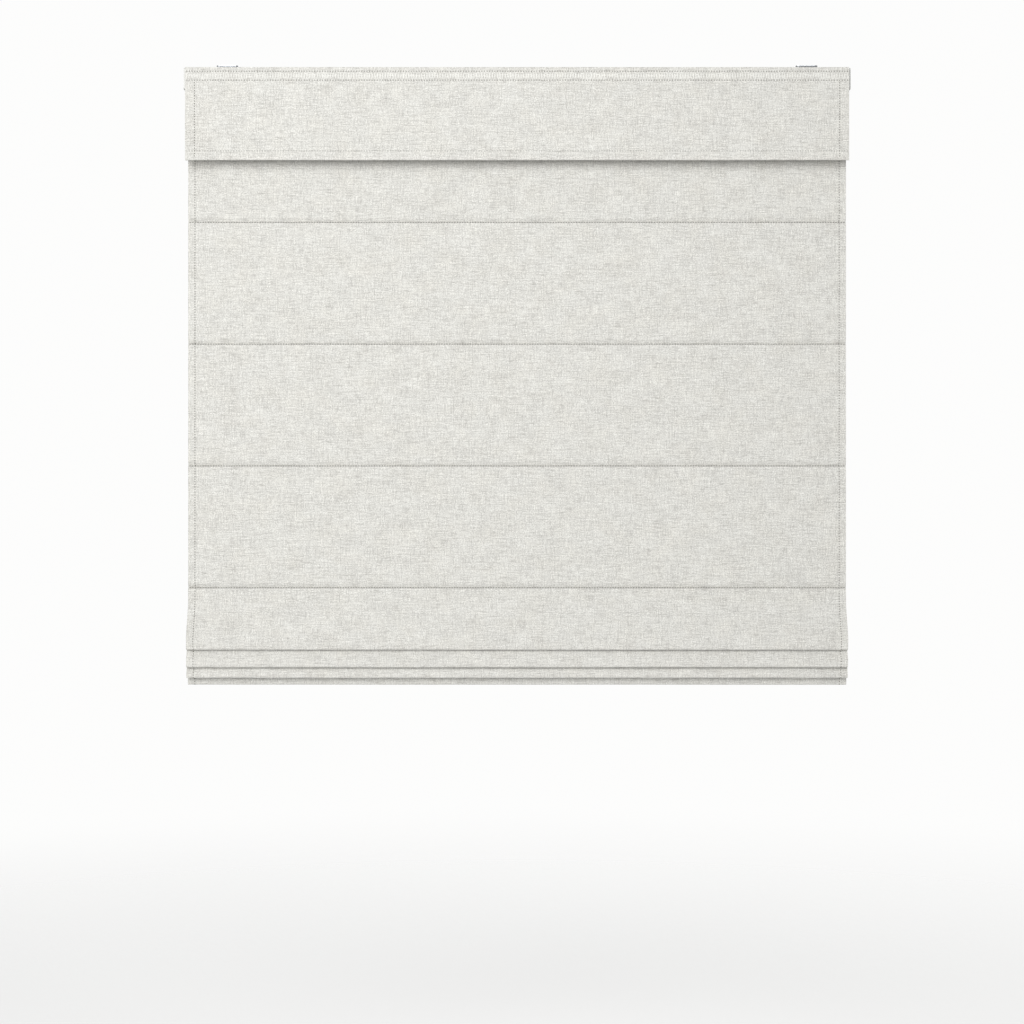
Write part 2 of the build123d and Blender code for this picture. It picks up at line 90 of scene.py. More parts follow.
LOOP_BEHIND, LOOP_BELOW = 0.6, 1.0  # the next layer's place behind and below a loop's bottom
HEM_GAP = 0.8
HEM_FRONT, HEM_BACK, HEM_LOW, HEM_TOP = -9.8, -2.2, -855.5, -830.5
CORD_X = 280.0
CORD_RADIUS = 0.7
CORD_Z = -18.0
WHEEL_X = 17.0  # the drums and spools stand this far, and three times as far, from the middle
SPOOL_RADIUS = 12.5
ROLLER_RADIUS = 5.0
OUTLET_LOW = -34.5
CORD_TAIL = 7.8  # how far below its last guide's middle a lift cord ends


def seam(i):
    """Middle of the cloth (y, z) at seam i."""
    closed = max(0, i - OPEN_FOLDS)
    drop = FOLD_PITCH * (min(i, OPEN_FOLDS) - 1) + CLOSED_PITCH * closed
    return SEAM_Y + CLOSED_LEAN * closed, FIRST_SEAM - drop


def pocket_y(i):
    """Depth of the middle of rod pocket i."""
    return seam(i)[0] + POCKET_BEHIND


def guide(i):
    """Middle of cord guide i (y, z)."""
    return seam(i)[0] + GUIDE_BEHIND, seam(i)[1]


def body(i):
    """Body that carries seam i; the headrail carries the cloth's top."""
    return f"rod_{i}_body" if i else "headrail_body"


# ---- Materials ----
def new_material(name):
    """New material, its node tree and its shader."""
    mat = bpy.data.materials.new(name)
    mat.use_nodes = True
    return mat, mat.node_tree, mat.node_tree.nodes["Principled BSDF"]


def node(tree, kind, values=(), links=(), **settings):
    """Shader node with its settings, input values and links."""
    made = tree.nodes.new(kind)
    for key, value in settings.items():
        setattr(made, key, value)
    for key, value in dict(values).items():
        made.inputs[key].default_value = value
    for key, source in dict(links).items():
        tree.links.new(source, made.inputs[key])
    return made


def place_on(tree, scale, cloth=False):
    """Coordinates of the piece, scaled: its own cloth UV map, or Object coordinates."""
    if cloth:
        where = node(tree, "ShaderNodeUVMap", uv_map="cloth").outputs["UV"]
    else:
        where = node(tree, "ShaderNodeTexCoord").outputs["Object"]
    return node(tree, "ShaderNodeMapping", {"Scale": scale}, {"Vector": where}).outputs["Vector"]


def speckle(tree, where, low, high, detail=2.0, rough=0.5):
    """Noise stretched between two levels to run from 0 to 1."""
    grain = node(tree, "ShaderNodeTexNoise", {"Scale": 1.0, "Detail": detail, "Roughness": rough},
                 {"Vector": where})
    levels = {"From Min": low, "From Max": high}
    return node(tree, "ShaderNodeMapRange", levels, {"Value": grain.outputs["Fac"]}).outputs["Result"]


def blend_colour(tree, base, other, amount):
    """Base colour with another laid over it by amount."""
    mix = node(tree, "ShaderNodeMix", data_type="RGBA")
    tree.links.new(amount, mix.inputs["Factor"])
    for socket, colour in ((mix.inputs[6], base), (mix.inputs[7], other)):
        if isinstance(colour, tuple):
            socket.default_value = (*colour, 1)
        else:
            tree.links.new(colour, socket)
    return mix.outputs[2]


def scaled(tree, value, factor):
    """Value times a fixed factor."""
    made = node(tree, "ShaderNodeMath", {1: factor}, {0: value}, operation="MULTIPLY")
    return made.outputs[0]


def relief(tree, shader, height, depth, strength=1.0, under=None):
    """Bump of the given depth in metres, over another bump if there is one."""
    bump = node(tree, "ShaderNodeBump", {"Strength": strength, "Distance": depth}, {"Height": height})
    if under:
        tree.links.new(under, bump.inputs["Normal"])
    tree.links.new(bump.outputs["Normal"], shader.inputs["Normal"])
    return bump.outputs["Normal"]


THREADS = 290  # puts the weave's threads 1.1 mm apart


def woven(name, base, slub, warm, slub_share, rough):
    """Plain weave of uneven yarn, on the cloth's own UV map: slubs across, fewer down, soft mottling."""
    mat, tree, shader = new_material(name)
    shader.inputs["Roughness"].default_value = rough
    shader.inputs["Specular IOR Level"].default_value = 0.18
    shader.inputs["Sheen Weight"].default_value = 0.25
    shader.inputs["Sheen Roughness"].default_value = 0.6
    across = speckle(tree, place_on(tree, (75, 620, 1), True), 0.5, 0.72, 3.0, 0.6)
    down = speckle(tree, place_on(tree, (620, 85, 1), True), 0.5, 0.72, 3.0, 0.6)
    yarn_across = speckle(tree, place_on(tree, (24, 640, 1), True), 0.38, 0.66, 2.0)
    yarn_down = speckle(tree, place_on(tree, (640, 30, 1), True), 0.38, 0.66, 2.0)
    mottle = speckle(tree, place_on(tree, (22, 26, 3), True), 0.42, 0.68, 4.0, 0.65)
    patch = speckle(tree, place_on(tree, (34, 40, 7), True), 0.36, 0.62, 4.0, 0.6)
    grain = speckle(tree, place_on(tree, (640, 640, 5), True), 0.38, 0.7, 2.0, 0.6)
    uneven = node(tree, "ShaderNodeMapRange", {"To Min": 0.8, "To Max": 1.0}, {"Value": patch})
    colour = blend_colour(tree, base, warm, scaled(tree, mottle, 0.35))
    yarns = ((grain, 0.62), (yarn_across, 0.2), (yarn_down, 0.16), (across, 0.5), (down, 0.42))
    for pattern, amount in yarns:
        share = node(tree, "ShaderNodeMath", links={0: scaled(tree, pattern, amount * slub_share),
                                                    1: uneven.outputs["Result"]}, operation="MULTIPLY")
        colour = blend_colour(tree, colour, slub, share.outputs[0])
    tree.links.new(colour, shader.inputs["Base Color"])
    threads = []
    for direction in ("X", "Y"):
        wave = node(tree, "ShaderNodeTexWave", {"Scale": 1.0, "Distortion": 1.2, "Detail": 1.0},
                    {"Vector": place_on(tree, (THREADS, THREADS, 1), True)}, bands_direction=direction)
        threads.append(wave.outputs["Fac"])
    weave = node(tree, "ShaderNodeMath", links={0: threads[0], 1: threads[1]}, operation="MAXIMUM")
    under = relief(tree, shader, weave.outputs[0], 0.00012, 0.5)
    thick = node(tree, "ShaderNodeMath", links={0: across, 1: yarn_across}, operation="ADD")
    relief(tree, shader, thick.outputs[0], 0.00016, 0.6, under)
    return mat


WEAR = 0.12  # how much rougher or glossier a finish gets over its patches


def grained(name, base, other, rough, scale, amount=0.5, depth=0.00003, metal=0.0, coat=0.0):
    """Finish with a grain on Object coordinates, uneven gloss over larger patches, and a fine relief."""
    mat, tree, shader = new_material(name)
    shader.inputs["Metallic"].default_value = metal
    shader.inputs["Coat Weight"].default_value = coat
    grain = speckle(tree, place_on(tree, scale), 0.35, 0.68, 3.0, 0.6)
    patches = speckle(tree, place_on(tree, (14, 22, 22)), 0.4, 0.7, 3.0, 0.6)
    colour = blend_colour(tree, base, other, scaled(tree, grain, amount))
    colour = blend_colour(tree, colour, other, scaled(tree, patches, amount * 0.5))
    tree.links.new(colour, shader.inputs["Base Color"])
    gloss = node(tree, "ShaderNodeMapRange", {"To Min": rough - WEAR, "To Max": rough + WEAR},
                 {"Value": patches})
    tree.links.new(gloss.outputs["Result"], shader.inputs["Roughness"])
    relief(tree, shader, grain, depth)
    return mat


def zinc_plated(name):
    """Plated steel: crystals of slightly different tone and gloss under fine rolling lines."""
    mat, tree, shader = new_material(name)
    shader.inputs["Metallic"].default_value = 1.0
    cells = node(tree, "ShaderNodeTexVoronoi", {"Scale": 170.0}, {"Vector": place_on(tree, (1, 1, 1))})
    tone = node(tree, "ShaderNodeRGBToBW", links={"Color": cells.outputs["Color"]}).outputs["Val"]
    lines = speckle(tree, place_on(tree, (40, 900, 900)), 0.35, 0.65)
    colour = blend_colour(tree, (0.52, 0.53, 0.54), (0.38, 0.4, 0.43), tone)
    tree.links.new(colour, shader.inputs["Base Color"])
    gloss = node(tree, "ShaderNodeMapRange", {"To Min": 0.26, "To Max": 0.46}, {"Value": tone})
    tree.links.new(gloss.outputs["Result"], shader.inputs["Roughness"])
    relief(tree, shader, lines, 0.00001)
    return mat


WAVE_BAND = 0.314  # spacing of a wave texture's bands at a scale of 1


def twisted_thread(name, base, other, pitch):
    """Thread or cord: slanted plies along the piece, on Object coordinates."""
    mat, tree, shader = new_material(name)
    shader.inputs["Roughness"].default_value = 0.75
    shader.inputs["Specular IOR Level"].default_value = 0.25
    plies = node(tree, "ShaderNodeTexWave", {"Scale": 1.0, "Distortion": 0.6, "Detail": 1.0},
                 {"Vector": place_on(tree, (WAVE_BAND / pitch,) * 3)},
                 bands_direction="DIAGONAL")
    fuzz = speckle(tree, place_on(tree, (2600, 2600, 2600)), 0.35, 0.7)
    colour = blend_colour(tree, base, other, scaled(tree, plies.outputs["Fac"], 0.5))
    colour = blend_colour(tree, colour, other, scaled(tree, fuzz, 0.25))
    tree.links.new(colour, shader.inputs["Base Color"])
    relief(tree, shader, plies.outputs["Fac"], 0.00012)
    return mat


def touch_tape(name):
    """Hook and loop tape: rows of tiny hooks on the tape's own UV map, with a plain selvedge."""
    mat, tree, shader = new_material(name)
    shader.inputs["Roughness"].default_value = 0.85
    hooks = node(tree, "ShaderNodeTexVoronoi", {"Scale": 1.0, "Randomness": 0.35},
                 {"Vector": place_on(tree, (700, 700, 1), True)})
    weave = speckle(tree, place_on(tree, (1500, 300, 1), True), 0.35, 0.65)
    colour = blend_colour(tree, (0.66, 0.66, 0.63), (0.86, 0.86, 0.84), hooks.outputs["Distance"])
    colour = blend_colour(tree, colour, (0.5, 0.5, 0.48), scaled(tree, weave, 0.2))
    tree.links.new(colour, shader.inputs["Base Color"])
    relief(tree, shader, hooks.outputs["Distance"], 0.0004)
    return mat


LINEN = woven("slub_linen", (0.8, 0.797, 0.757), (0.3, 0.29, 0.27), (0.79, 0.765, 0.69), 1.2, 0.88)
LINING = woven("white_lining", (0.76, 0.76, 0.75), (0.52, 0.52, 0.51), (0.73, 0.72, 0.69), 0.5, 0.8)
TAPE = woven("pocket_tape", (0.7, 0.7, 0.69), (0.5, 0.5, 0.48), (0.7, 0.69, 0.67), 0.5, 0.8)
# The stitches' dark colour is painted shade: it stands in for the shadowed needle holes along each row, since
# the real thread is close to the cloth's own colour.
STITCH_HOLE_SHADE = twisted_thread("stitch_painted_hole_shade", (0.22, 0.215, 0.195), (0.1, 0.096, 0.085), 0.8)
PALE_THREAD = twisted_thread("pale_thread", (0.8, 0.8, 0.765), (0.6, 0.59, 0.56), 0.8)
CORD = twisted_thread("braided_cord", (0.84, 0.84, 0.81), (0.58, 0.58, 0.55), 1.1)
TOUCH_TAPE = touch_tape("touch_tape")
RAIL = grained("powder_coat", (0.84, 0.84, 0.82), (0.78, 0.78, 0.76), 0.4, (900, 900, 900), 0.4, 0.00004)
CAP = grained("grey_moulding", (0.62, 0.62, 0.6), (0.55, 0.55, 0.53), 0.5, (1600, 1600, 1600), 0.5, 0.00003)
ZINC = zinc_plated("zinc_plated_steel")
VINYL = grained("extruded_vinyl", (0.82, 0.81, 0.77), (0.74, 0.73, 0.69), 0.42, (8, 1100, 1100), 0.5)
BOARD = grained("pressed_board", (0.66, 0.63, 0.56), (0.5, 0.46, 0.38), 0.8, (260, 900, 420), 0.8, 0.00008)
NYLON = grained("nylon_moulding", (0.8, 0.8, 0.77), (0.72, 0.72, 0.69), 0.46, (1300, 1300, 1300), 0.5)
ACETAL = grained("acetal", (0.85, 0.85, 0.83), (0.78, 0.78, 0.75), 0.28, (700, 700, 700), 0.4, 0.00001,
                 coat=0.1)
STEEL = grained("turned_steel", (0.6, 0.6, 0.6), (0.45, 0.45, 0.45), 0.3, (1500, 1500, 90), 0.6, 0.00001,
                metal=1.0)
HOUSING = grained("motor_moulding", (0.72, 0.72, 0.7), (0.64, 0.64, 0.62), 0.5, (1500, 1500, 1500), 0.5)
SPRING = grained("spring_steel", (0.42, 0.44, 0.47), (0.3, 0.31, 0.33), 0.3, (1400, 1400, 30), 0.6, 0.00001,
                 metal=1.0)
FIBREGLASS = grained("fibreglass", (0.8, 0.8, 0.74), (0.66, 0.66, 0.58), 0.36, (7, 1700, 1700), 0.7, 0.00002)
EYELET = grained("clear_moulding", (0.86, 0.87, 0.86), (0.78, 0.79, 0.78), 0.25, (900, 900, 900), 0.4,
                 coat=0.2)
ALUMINIUM = grained("brushed_bar", (0.72, 0.72, 0.72), (0.6, 0.6, 0.6), 0.34, (9, 1500, 1500), 0.6, 0.00001,
                    metal=1.0)

NODE_FINISH = {
    "headrail": RAIL, "end_cap": CAP, "bracket": ZINC, "top_spline": VINYL, "valance_board": BOARD,
    "outlet_roller": ACETAL, "outlet_pins": STEEL, "outlet": NYLON, "rod": FIBREGLASS,
    "cord_guides": EYELET, "cord_stops": EYELET, "bottom_bar": ALUMINIUM, "bar_cap": CAP,
    "motor_base": HOUSING, "motor_cover": HOUSING, "motor_screws": ZINC, "motor_pins": STEEL,
    "storage_drum": ACETAL, "output_drum": ACETAL, "spool": ACETAL,
}
for name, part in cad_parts.items():
    match = [key for key in NODE_FINISH if name.startswith(key)]
    if match:
        for place in part.material_slots:
            place.material = NODE_FINISH[max(match, key=len)]


# ---- Lines that cloth follows ----
def walk(route, step=5.0):
    """Rows (point, heading, distance) down a route of (y, z, radius, mark), and the cut rows.

    A point is the complex number y + iz. The cloth is cut at a mark: in the middle of a corner, or of
    the run after a stop.
    """
    points = [complex(stop[0], stop[1]) for stop in route]
    headings = [(b - a) / abs(b - a) for a, b in zip(points, points[1:])]
    turns = [0.0] + [phase(b / a) for a, b in zip(headings, headings[1:])] + [0.0]
    backs = [stop[2] * tan(abs(t) / 2) for stop, t in zip(route, turns)]
    rows, cuts = [], []

    def add(point, heading):
        gone = rows[-1][2] + abs(point - rows[-1][0]) if rows else 0.0
        if not rows or gone - rows[-1][2] > 1e-4:
            rows.append((point, heading, gone))

    for k, stop in enumerate(route):
        mark = stop[3] if len(stop) > 3 else None
        before = headings[max(k - 1, 0)]
        if backs[k] > 0:
            side = 1j if turns[k] > 0 else -1j
            start = points[k] - before * backs[k]
            centre = start + side * stop[2] * before
            parts = 2 * max(1, ceil(abs(turns[k]) / radians(22)))
            for j in range(parts + 1):
                swing = exp(1j * turns[k] * j / parts)
                add(centre - side * stop[2] * before * swing, before * swing)
                if mark == "corner" and 2 * j == parts:
                    cuts.append(len(rows) - 1)
        else:
            add(points[k], before)
        if k < len(headings):
            start = points[k] + headings[k] * backs[k]
            end = points[k + 1] - headings[k] * backs[k + 1]
            parts = 2 * max(1, ceil(abs(end - start) / step / 2))
            for j in range(1, parts):
                add(start + (end - start) * j / parts, headings[k])
                if mark == "run" and 2 * j == parts:
                    cuts.append(len(rows) - 1)
    return rows, cuts


def cloth_route():
    """Down the middle of the shade's cloth, from its wrap round the spline to the hem's turned edge."""
    route = [(SPLINE_BACK, SPLINE_LOW + 1.5, 0), (SPLINE_BACK, SPLINE_TOP, WRAP_RADIUS)]
    route += [(SPLINE_FRONT, SPLINE_TOP, WRAP_RADIUS), (SPLINE_FRONT, SPLINE_LOW, 1.2)]
    route.append((PANEL_Y, SPLINE_LOW, 0.8))
    for i in range(1, OPEN_FOLDS + 1):
        y, z = seam(i)
        route += [(PANEL_Y, z + 7, 8), (y - 1.2, z + 0.9, 0.5), (y, z, 0.5, "corner"), (PANEL_Y, z - 1, 1)]
    for k, (front, low, leg) in enumerate(zip(LOOP_FRONT, LOOP_LOW, LOOP_LEG)):
        start_y, start_z = seam(OPEN_FOLDS + k)
        y, z = seam(OPEN_FOLDS + k + 1)
        back = front + LOOP_WIDTH
        behind = [(LOOP_FRONT[j] + (k - j) * LOOP_STEP + LOOP_BEHIND, LOOP_LOW[j] - LOOP_BELOW)
                  for j in range(k)]
        route.append((start_y, start_z - 11, 20) if k else (PANEL_Y - 0.5, start_z - 23, 20))
        route += [(a, b, 6) for a, b in behind]
        lean = LOOP_TUCK[k]
        route.append((front, low + leg, 8))
        if k < 2:
            route.append((front + 0.3 * lean, low + 0.4 * leg, 6))
        route += [(front + lean, low, LOOP_ROUND[k], "run"), (back, low, 1.4), (back, low + leg, 8)]
        route += [(a + LOOP_WIDTH, b, 6) for a, b in reversed(behind)]
        route += [(y - 1.6, z - 11, 12), (y - 1.6, z + 0.8, 0.75, "run"), (y, z + 0.8, 0.75)]
    y, z = seam(FOLDS)
    route += [(y, z - 12, 20), (LOOP_FRONT[0] + 3 * LOOP_STEP + HEM_GAP, LOOP_LOW[0] + 2.4, 12)]
    route += [(HEM_FRONT, HEM_TOP, 12), (HEM_FRONT, HEM_LOW, 3), (HEM_BACK, HEM_LOW, 3)]
    return route + [(HEM_BACK, HEM_TOP + 1, 2), (HEM_FRONT + 2.9, HEM_TOP + 4.5, 0)]


def ring_route(y0, y1, z0, z1, radius, start):
    """Round a closed sleeve, down its front; it starts and ends on its back at the height start."""
    corners = [(y1, z1, radius), (y0, z1, radius), (y0, z0, radius), (y1, z0, radius)]
    return [(y1, start, 0), *corners, (y1, start, 0)]


def columns(half, hem, step=5.0):
    """Places across a cloth: its edges, the turned side hems, and even steps between."""
    edge = half - hem
    count = ceil(2 * (edge - 0.4) / step)
    middle = [(-1 + 2 * k / count) * (edge - 0.4) for k in range(count + 1)]
    side = [half, half - 0.6, half - 5, edge + 4, edge]
    return [-x for x in side] + middle + side[::-1]


def even(low, high, step):
    """Even places from low to high, no more than a step apart."""
    count = ceil((high - low) / step)
    return [low + (high - low) * k / count for k in range(count + 1)]


# ---- Cloth ----
def waves(seams, soft, closed=0.0):
    """How far cloth stands off its line at x across and s down: broad waves, and puckers near a seam.

    A sleeve closed after that distance lies flat at its join.
    """
    def stand_off(x, s):
        near = min((abs(s - line) for line in seams), default=99.0)
        broad = 0.55 * noise.noise(Vector((x / 150, s / 75, 0.3))) * min(1.0, near / 30)
        pucker = 0.3 * noise.noise(Vector((x / 9, s / 26, 5.1))) * max(0.0, 1 - near / 16)
        pucker *= min(1.0, near / 2)
        fade = min(1.0, s / 6, (closed - s) / 6) if closed else 1.0
        return soft * fade * (broad + pucker)
    return stand_off


FLAT = waves((), 0.0)


def hang(rows, across, thick, wave=FLAT, hem=0.0, closed=False, axes=(0, 1, 2)):
    """Cloth shell: a grid with rows down a line and columns across it, then given its thickness.

    The axes say which coordinates run across the cloth, and which the line's two are.
    """
    bm = bmesh.new()
    uv = bm.loops.layers.uv.new("cloth")
    tag = bm.verts.layers.int.new("row")
    wide, high = len(across) - 1, len(rows) - 1
    bmesh.ops.create_grid(bm, x_segments=wide, y_segments=high, size=0.5)
    spot = {}
    for vert in bm.verts:
        c, r = round((vert.co.x + 0.5) * wide), round((0.5 - vert.co.y) * high)
        spot[vert.index] = (across[c], rows[r][2])
        x, (point, heading, s) = across[c], rows[r]
        lift = -1j * heading * (thick / 2 + wave(x, s))
        place = point + lift
        vert[tag] = r
        co = [0.0, 0.0, 0.0]
        co[axes[0]], co[axes[1]], co[axes[2]] = x * MM, place.real * MM, place.imag * MM
        vert.co = co
    for face in bm.faces:
        for loop in face.loops:
            x, s = spot[loop.vert.index]
            loop[uv].uv = (x * MM, -s * MM)
    if closed:
        bmesh.ops.remove_doubles(bm, verts=bm.verts[:], dist=1e-6)
        bmesh.ops.recalc_face_normals(bm, faces=bm.faces[:])
    bm.normal_update()
    bmesh.ops.solidify(bm, geom=bm.faces[:], thickness=thick * MM)
    bm.normal_update()
    outward = {}
    for r, (_, heading, _) in enumerate(rows):
        front = -1j * heading
        n = [0.0, 0.0, 0.0]
        n[axes[1]], n[axes[2]] = front.real, front.imag
        outward[r] = Vector(n)
    backs = set()
    for face in bm.faces:
        facing = face.normal.dot(outward[face.verts[0][tag]])
        face.material_index = 1 if facing < -0.4 else 0
        if facing < -0.4:
            backs.update(face.verts)
    if hem:
        edge = (max(across) - hem + 0.01) * MM
        for vert in backs:
            if abs(vert.co[axes[0]]) > edge:
                vert.co -= outward[vert[tag]] * SIDE_HEM_RISE * MM
    return bm


def turn_over(bm, rows):
    """Swaps cloth and lining where a loop's back runs up, so that an opened fold shows its cloth."""
    tag = bm.verts.layers.int["row"]
    for face in bm.faces:
        if rows[face.verts[0][tag]][1].imag > 0.5:
            face.material_index = 1 - face.material_index


def at(rows, s):
    """Point and heading at a distance down the rows."""
    for (a, heading, start), (b, _, end) in zip(rows, rows[1:]):
        if start <= s <= end:
            return a + (b - a) * (s - start) / (end - start), heading
    return rows[-1][:2]


STITCH_RISE, STITCH_HALF_HEIGHT = 0.05, 0.26
SLIM = 0.3  # half length of a stitch while its copies are made, one apart


def sew(bm, rows, spots, thick, wave=FLAT, index=2, length=2.1, width=1.5):
    """Adds a stitch on the face of the cloth at each spot (x, s, down)."""
    if not spots:
        return
    stitches = bmesh.new()
    bmesh.ops.create_icosphere(stitches, subdivisions=1, radius=1.0)
    bmesh.ops.scale(stitches, vec=(SLIM, 1, 1), verts=stitches.verts)
    count = 1
    while count < len(spots):
        everything = stitches.verts[:] + stitches.edges[:] + stitches.faces[:]
        copies = bmesh.ops.duplicate(stitches, geom=everything)
        moved = [g for g in copies["geom"] if isinstance(g, bmesh.types.BMVert)]
        bmesh.ops.translate(stitches, vec=(count, 0, 0), verts=moved)
        count *= 2
    places = []
    for x, s, down in spots:
        point, heading = at(rows, s)
        front = -1j * heading
        point += front * (thick / 2 + wave(x, s) + STITCH_RISE)
        along = Vector((0, heading.real, heading.imag)) if down else Vector((1, 0, 0))
        out = Vector((0, front.real, front.imag))
        side = out.cross(along)
        sway = 0.12 * noise.noise(Vector((x * 1.3, s * 1.7, 2.0)))
        turn = Matrix((along, side, out)).transposed().to_4x4()
        size = Matrix.Diagonal((length / 2 / SLIM * MM, width / 2 * MM, STITCH_HALF_HEIGHT * MM, 1))
        spot = Vector((x * MM, point.real * MM, point.imag * MM))
        places.append(Matrix.Translation(spot) @ turn @ Matrix.Rotation(sway, 4, "Z") @ size)
    spare = []
    for vert in stitches.verts:
        k = round(vert.co.x)
        if k < len(places):
            vert.co = places[k] @ (vert.co - Vector((k, 0, 0)))
        else:
            spare.append(vert)
    bmesh.ops.delete(stitches, geom=spare, context="VERTS")
    for face in stitches.faces:
        # The default index 2 is the dark stitch material, which paints the shade of the needle holes.
        face.material_index = index
    loose = bpy.data.meshes.new("stitches")
    stitches.to_mesh(loose)
    stitches.free()
    bm.from_mesh(loose)
    bpy.data.meshes.remove(loose)


def piece(name, bm, materials):
    """Finished object from a bmesh."""
    mesh = bpy.data.meshes.new(name)
    bm.to_mesh(mesh)
    bm.free()
    for mat in materials:
        mesh.materials.append(mat)
    mesh.polygons.foreach_set("use_smooth", [True] * len(mesh.polygons))
    mesh.set_sharp_from_angle(angle=radians(38))
    obj = bpy.data.objects.new(name, mesh)
    bpy.context.scene.collection.objects.link(obj)
    return obj


def side_rows(rows, half, inset):
    """Spots of the side hems' stitches, down both edges."""
    low, high = rows[0][2], rows[-1][2]
    first, last = ceil(low / STITCH_PITCH), int(high / STITCH_PITCH)
    return [(side * (half - inset), k * STITCH_PITCH, True)
            for side in (-1, 1)
            for k in range(first, last + 1)
            if low + 1 < k * STITCH_PITCH < high - 1]


def cross_row(half, s):
    """Spots of a row of stitches across the cloth."""
    return [(x, s, False) for x in even(-half + 2.5, half - 2.5, STITCH_PITCH)]


def shade():
    """The shade's one cloth, cut at its seams and at the bottoms of its loops, so that each part can move."""
    rows, cuts = walk(cloth_route())
    stops = [0, *cuts, len(rows) - 1]
    names = [f"panel_{i}" for i in range(1, OPEN_FOLDS + 1)]
    for k in range(OPEN_FOLDS + 1, FOLDS + 1):
        names += [f"loop_front_{k}", f"loop_back_{k}"]
    names.append("hem")
    seams = [rows[c][2] for c in cuts[:OPEN_FOLDS]]
    across = columns(SHADE_HALF, SHADE_HEM)
    for name, start, end in zip(names, stops, stops[1:]):
        part = rows[start:end + 1]
        wave = waves(seams, 1.0 if name.startswith("panel") else 0.45)
        bm = hang(part, across, CLOTH, wave, hem=SHADE_HEM)
        spots = side_rows(part, SHADE_HALF, SHADE_HEM - 2.0)
        if name.startswith("panel"):
            spots += cross_row(SHADE_HALF, part[-1][2] - 0.9)
        if name.startswith("loop_back"):
            turn_over(bm, part)
            sew(bm, part, spots, -CLOTH - 4 * STITCH_RISE, wave)
        else:
            sew(bm, part, spots, CLOTH, wave)
        obj = piece(name, bm, [LINEN, LINING, STITCH_HOLE_SHADE])
        kind, _, number = name.rpartition("_")
        if name == "hem":
            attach(obj, body(FOLDS))
        elif kind == "loop_front":
            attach(obj, body(int(number) - 1))
        else:
            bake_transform(obj)
    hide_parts("shade_fabric")


def valance():
    """Cloth sleeve over the stiff board, with two rows of stitches at the top and turned sides."""
    rows, _ = walk(ring_route(SLEEVE_FRONT, SLEEVE_BACK, SLEEVE_LOW, SLEEVE_TOP, 0.6, SLEEVE_JOIN), 4.0)
    face = next(s for _, heading, s in rows if heading.imag < -0.99)
    lines = [face + drop for drop in HEADER]
    wave = waves(lines, 0.5, rows[-1][2])
    bm = hang(rows, columns(VALANCE_HALF, VALANCE_HEM), SLEEVE_CLOTH, wave, closed=True)
    spots = [spot for line in lines for spot in cross_row(VALANCE_HALF, line)]
    spots += [(side * (VALANCE_HALF - VALANCE_HEM + 2), face + HEADER[1] + k * STITCH_PITCH, True)
              for side in (-1, 1)
              for k in range(1, 30)]
    sew(bm, rows, spots, SLEEVE_CLOTH, wave)
    sew(bm, rows, cross_row(VALANCE_HALF, face + FOOTER), SLEEVE_CLOTH, wave, length=1.9, width=0.9)
    between = [(x, sum(lines) / 2, True) for x, _, _ in cross_row(VALANCE_HALF, 0)]
    sew(bm, rows, between, SLEEVE_CLOTH, wave, index=3, length=8.0, width=1.1)
    obj = piece("valance_cover_sewn", bm, [LINEN, LINING, STITCH_HOLE_SHADE, PALE_THREAD])
    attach(obj, body(0))
    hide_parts("valance_cover")


def pocket(i):
    """Tape sleeve round rod i, sewn above the rod."""
    y, z = pocket_y(i), seam(i)[1]
    deep, high = POCKET_DEPTH / 2, POCKET_HEIGHT / 2
    rows, _ = walk(ring_route(y - deep, y + deep, z - high, z + high, 0.98 * deep, z - 1.0), 2.5)
    wave = waves((), 0.2, rows[-1][2])
    bm = hang(rows, even(-TAPE_HALF, TAPE_HALF, 9.0), POCKET_CLOTH, wave, closed=True)
    spots = cross_row(TAPE_HALF, 2.6) + cross_row(TAPE_HALF, rows[-1][2] - 1.0)
    sew(bm, rows, spots, POCKET_CLOTH, wave)
    obj = piece(f"rod_pocket_sewn_{i}", bm, [TAPE, TAPE, STITCH_HOLE_SHADE])
    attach(obj, body(i))
    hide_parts(f"rod_pocket_{i}")


def tape(name, node_name, y):
    """One half of the hook and loop fastening."""
    rows, _ = walk([(y, FASTENING_TOP, 0), (y, FASTENING_TOP - FASTENING, 0)], 2.5)
    bm = hang(rows, even(-TAPE_HALF, TAPE_HALF, 9.0), FASTENING_CLOTH)
    obj = piece(name, bm, [TOUCH_TAPE, TOUCH_TAPE])
    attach(obj, body(0))
    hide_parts(node_name)


# ---- Cords ----
def tube(name, points, radius, around=10):
    """Round cord along points in millimetres, closed at its ends."""
    bm = bmesh.new()
    high = len(points) - 1
    bmesh.ops.create_grid(bm, x_segments=around, y_segments=high, size=0.5)
    path = [Vector(p) for p in points]
    for vert in bm.verts:
        c, r = round((vert.co.x + 0.5) * around), round((0.5 - vert.co.y) * high)
        heading = (path[min(r + 1, high)] - path[max(r - 1, 0)]).normalized()
        side = heading.cross(Vector((0, 1, 0)) if abs(heading.y) < 0.8 else Vector((0, 0, 1))).normalized()
        swing = Matrix.Rotation(2 * pi * c / around, 4, heading) @ side
        vert.co = (path[r] + swing * radius) * MM
    bmesh.ops.remove_doubles(bm, verts=bm.verts[:], dist=1e-6)
    bmesh.ops.holes_fill(bm, edges=[e for e in bm.edges if e.is_boundary], sides=around)
    bmesh.ops.recalc_face_normals(bm, faces=bm.faces[:])
    return piece(name, bm, [CORD])


WOUND_HEIGHT, WOUND_STEPS, TURN_STEPS = 7.6, 144, 27


